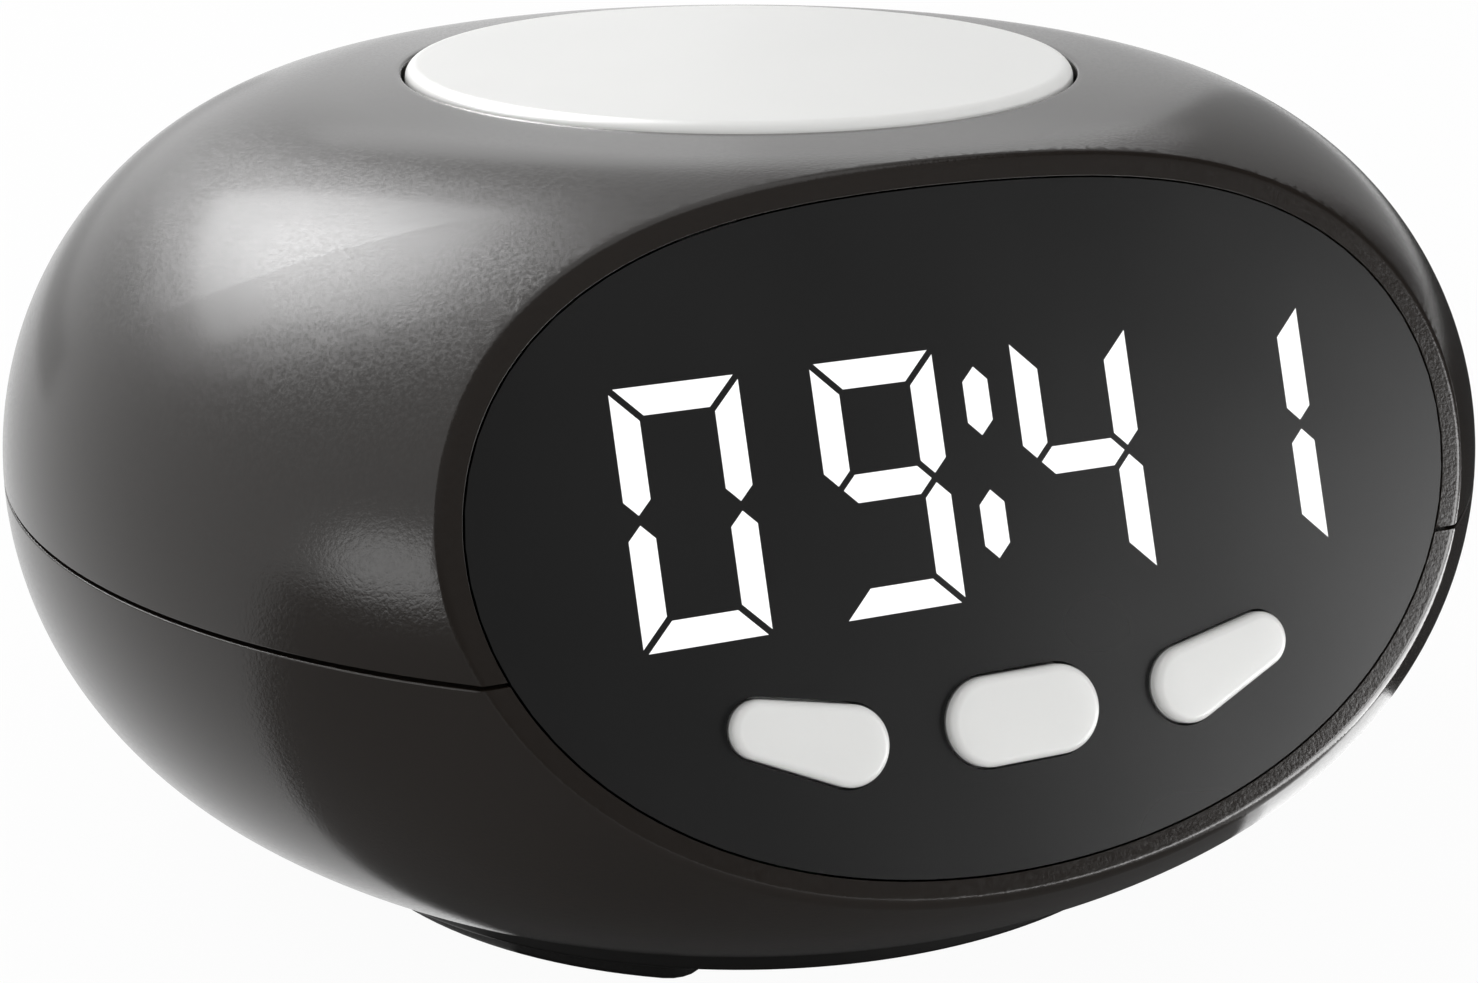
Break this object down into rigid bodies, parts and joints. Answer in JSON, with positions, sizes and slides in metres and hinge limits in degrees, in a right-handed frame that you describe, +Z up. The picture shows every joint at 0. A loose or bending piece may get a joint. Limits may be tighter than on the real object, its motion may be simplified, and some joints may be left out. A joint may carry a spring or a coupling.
{
  "type": "talking alarm clock",
  "caption": "Round tabletop alarm clock with a tilted digital display face, a large round talk button on top, face keys, a speaker underneath and rubber feet.",
  "frame": {"origin": "middle of the footprint rectangle, on the table under the feet", "axes": "+X to the right as seen from the front, across the display; -Y towards the reader, the way the display faces; +Z up"},
  "size_m": [0.125, 0.1178, 0.0675],
  "materials": {
    "body_plastic": "warm charcoal, fine mould texture, matte",
    "base_plastic": "black, matte",
    "foot_rubber": "black, soft",
    "panel_black": "black, satin",
    "segment_lit": "white translucent, lit from behind",
    "segment_dark": "smoked translucent, unlit",
    "inner_white": "white moulded",
    "circuit_board": "green glass-fibre laminate, solder mask",
    "led_epoxy": "clear epoxy over a white chip",
    "key_white": "off-white, smooth satin",
    "talk_white": "white, smooth satin",
    "inner_black": "black moulded",
    "steel": "plated, plain",
    "contact_brass": "sprung contact strip",
    "magnet": "sintered ferrite, grey",
    "cone_paper": "black pressed paper",
    "lead_plastic": "insulated copper lead, light grey sleeve"
  },
  "bodies": {
    "housing": {"upper_housing": "body_plastic", "lower_housing": "body_plastic", "base_plate": "base_plastic", "left_foot": "foot_rubber", "right_foot": "foot_rubber", "coin_cell": "steel", "cell_spring_contact": "contact_brass", "cell_side_contact": "contact_brass", "front_panel": "panel_black", "lit_segments": "segment_lit", "unlit_segments": "segment_dark", "light_box": "inner_white", "display_board": "circuit_board", "segment_leds": "led_epoxy", "left_switch": "inner_black", "middle_switch": "inner_black", "right_switch": "inner_black", "button_carrier": "inner_black", "talk_springs": "steel", "talk_board": "circuit_board", "talk_switch": "inner_black", "speaker_basket": "steel", "speaker_magnet": "magnet", "speaker_cone": "cone_paper", "speaker_clamp": "steel", "main_board": "circuit_board", "speech_chip": "inner_black", "board_parts": "inner_black", "inlet_board": "circuit_board", "usb_inlet": "steel", "housing_screws": "steel", "base_screws": "steel", "carrier_screws": "steel", "board_screws": "steel", "display_screws": "steel", "clamp_screws": "steel", "display_ribbon": "lead_plastic", "inlet_leads": "lead_plastic", "talk_leads": "lead_plastic", "speaker_leads": "lead_plastic", "cell_leads": "lead_plastic"},
    "talk_key": {"talk_button": "talk_white", "talk_plunger": "inner_white"},
    "left_key": {"left_button": "key_white", "left_plunger": "inner_black"},
    "middle_key": {"middle_button": "key_white", "middle_plunger": "inner_black"},
    "right_key": {"right_button": "key_white", "right_plunger": "inner_black"},
    "cap": {"battery_cap": "base_plastic"}
  },
  "joints": [
    {"name": "talk_press", "type": "slide", "parent": "housing", "child": "talk_key", "axis": [0, 0, -1], "range_m": [0, 0.001], "stiffness_N_per_m": 800, "springref_m": -0.0015, "deforming": ["talk_springs"]},
    {"name": "left_key_press", "type": "slide", "parent": "housing", "child": "left_key", "axis": [0, 0.9397, -0.342], "range_m": [0, 0.0006], "stiffness_N_per_m": 1500, "springref_m": -0.0003},
    {"name": "middle_key_press", "type": "slide", "parent": "housing", "child": "middle_key", "axis": [0, 0.9397, -0.342], "range_m": [0, 0.0006], "stiffness_N_per_m": 1500, "springref_m": -0.0003},
    {"name": "right_key_press", "type": "slide", "parent": "housing", "child": "right_key", "axis": [0, 0.9397, -0.342], "range_m": [0, 0.0006], "stiffness_N_per_m": 1500, "springref_m": -0.0003},
    {"name": "battery_cap_turn", "type": "hinge", "parent": "housing", "child": "cap", "pos_m": [0, 0.01338, 0.004], "axis": [0, 0, -1], "range_deg": [0, 45]}
  ]
}
